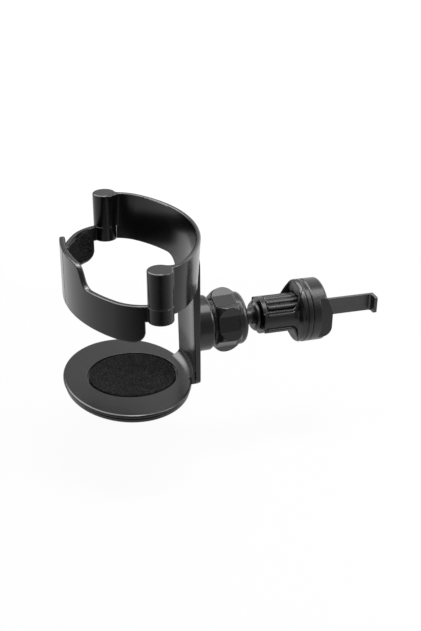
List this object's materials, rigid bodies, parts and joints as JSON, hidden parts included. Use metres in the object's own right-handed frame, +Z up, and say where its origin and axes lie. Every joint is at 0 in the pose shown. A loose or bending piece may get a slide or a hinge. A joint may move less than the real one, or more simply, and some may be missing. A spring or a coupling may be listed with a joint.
{
  "type": "car cup holder",
  "caption": "Vent-mounted cup holder: a half-oval ring closed by sprung arms over a padded base plate, on a lockable ball joint with a hook clip and thumb wheel.",
  "frame": {"origin": "centre of the base pad's top face, where the cup stands", "axes": "+Z up along the cup, +X back along the ball joint towards the vent, +Y from the near arm's hinge to the far arm's hinge"},
  "size_m": [0.1492, 0.1026, 0.0748],
  "materials": {
    "gloss_black": "gloss moulded ABS",
    "satin_black": "satin moulded nylon",
    "foam": "fine-celled matte foam",
    "dark_steel": "black satin coated steel",
    "steel": "plain zinc-plated steel"
  },
  "bodies": {
    "clip": {"clip_body": "satin_black", "front_cap": "satin_black", "cap_screws": "steel"},
    "wheel": {"adjusting_wheel": "satin_black"},
    "hook": {"hook": "dark_steel"},
    "stud": {"ball_stud": "satin_black", "stud_screw": "steel"},
    "holder": {"back_frame": "gloss_black", "base_pad": "foam", "pivot_screws": "steel", "near_arm_spring": "steel", "far_arm_spring": "steel"},
    "nut": {"lock_nut": "satin_black"},
    "near_arm": {"near_arm": "gloss_black", "near_arm_pad": "foam"},
    "far_arm": {"far_arm": "gloss_black", "far_arm_pad": "foam"}
  },
  "joints": [
    {"name": "wheel_turn", "type": "hinge", "parent": "clip", "child": "wheel", "pos_m": [0.045, 0, 0.0204], "axis": [0.9996, 0, -0.027], "range_deg": [-540, 720]},
    {"name": "hook_slide", "type": "slide", "parent": "clip", "child": "hook", "axis": [0.9996, 0, -0.027], "range_m": [-0.0031, 0.0041]},
    {"name": "ball_roll", "type": "hinge", "parent": "clip", "child": "stud", "pos_m": [0.045, 0, 0.0204], "axis": [0.9996, 0, -0.027], "range_deg": [-90, 90]},
    {"name": "ball_tilt", "type": "hinge", "parent": "stud", "child": "holder", "pos_m": [0.045, 0, 0.0204], "axis": [0, 1, 0], "range_deg": [-20, 20]},
    {"name": "nut_turn", "type": "hinge", "parent": "holder", "child": "nut", "pos_m": [0.045, 0, 0.0204], "axis": [1, 0, 0], "range_deg": [0, 180]},
    {"name": "near_arm_turn", "type": "hinge", "parent": "holder", "child": "near_arm", "pos_m": [0.001, -0.046, 0.052], "axis": [0, 0, 1], "range_deg": [0, 65], "stiffness_Nm_per_rad": 0.05, "springref_deg": -34.38},
    {"name": "far_arm_turn", "type": "hinge", "parent": "holder", "child": "far_arm", "pos_m": [0.001, 0.046, 0.052], "axis": [0, 0, -1], "range_deg": [0, 65], "stiffness_Nm_per_rad": 0.05, "springref_deg": -34.38}
  ],
  "couplings": [
    {"joint": "hook_slide", "follows": "wheel_turn", "m_per_rad": 0.00031831}
  ]
}
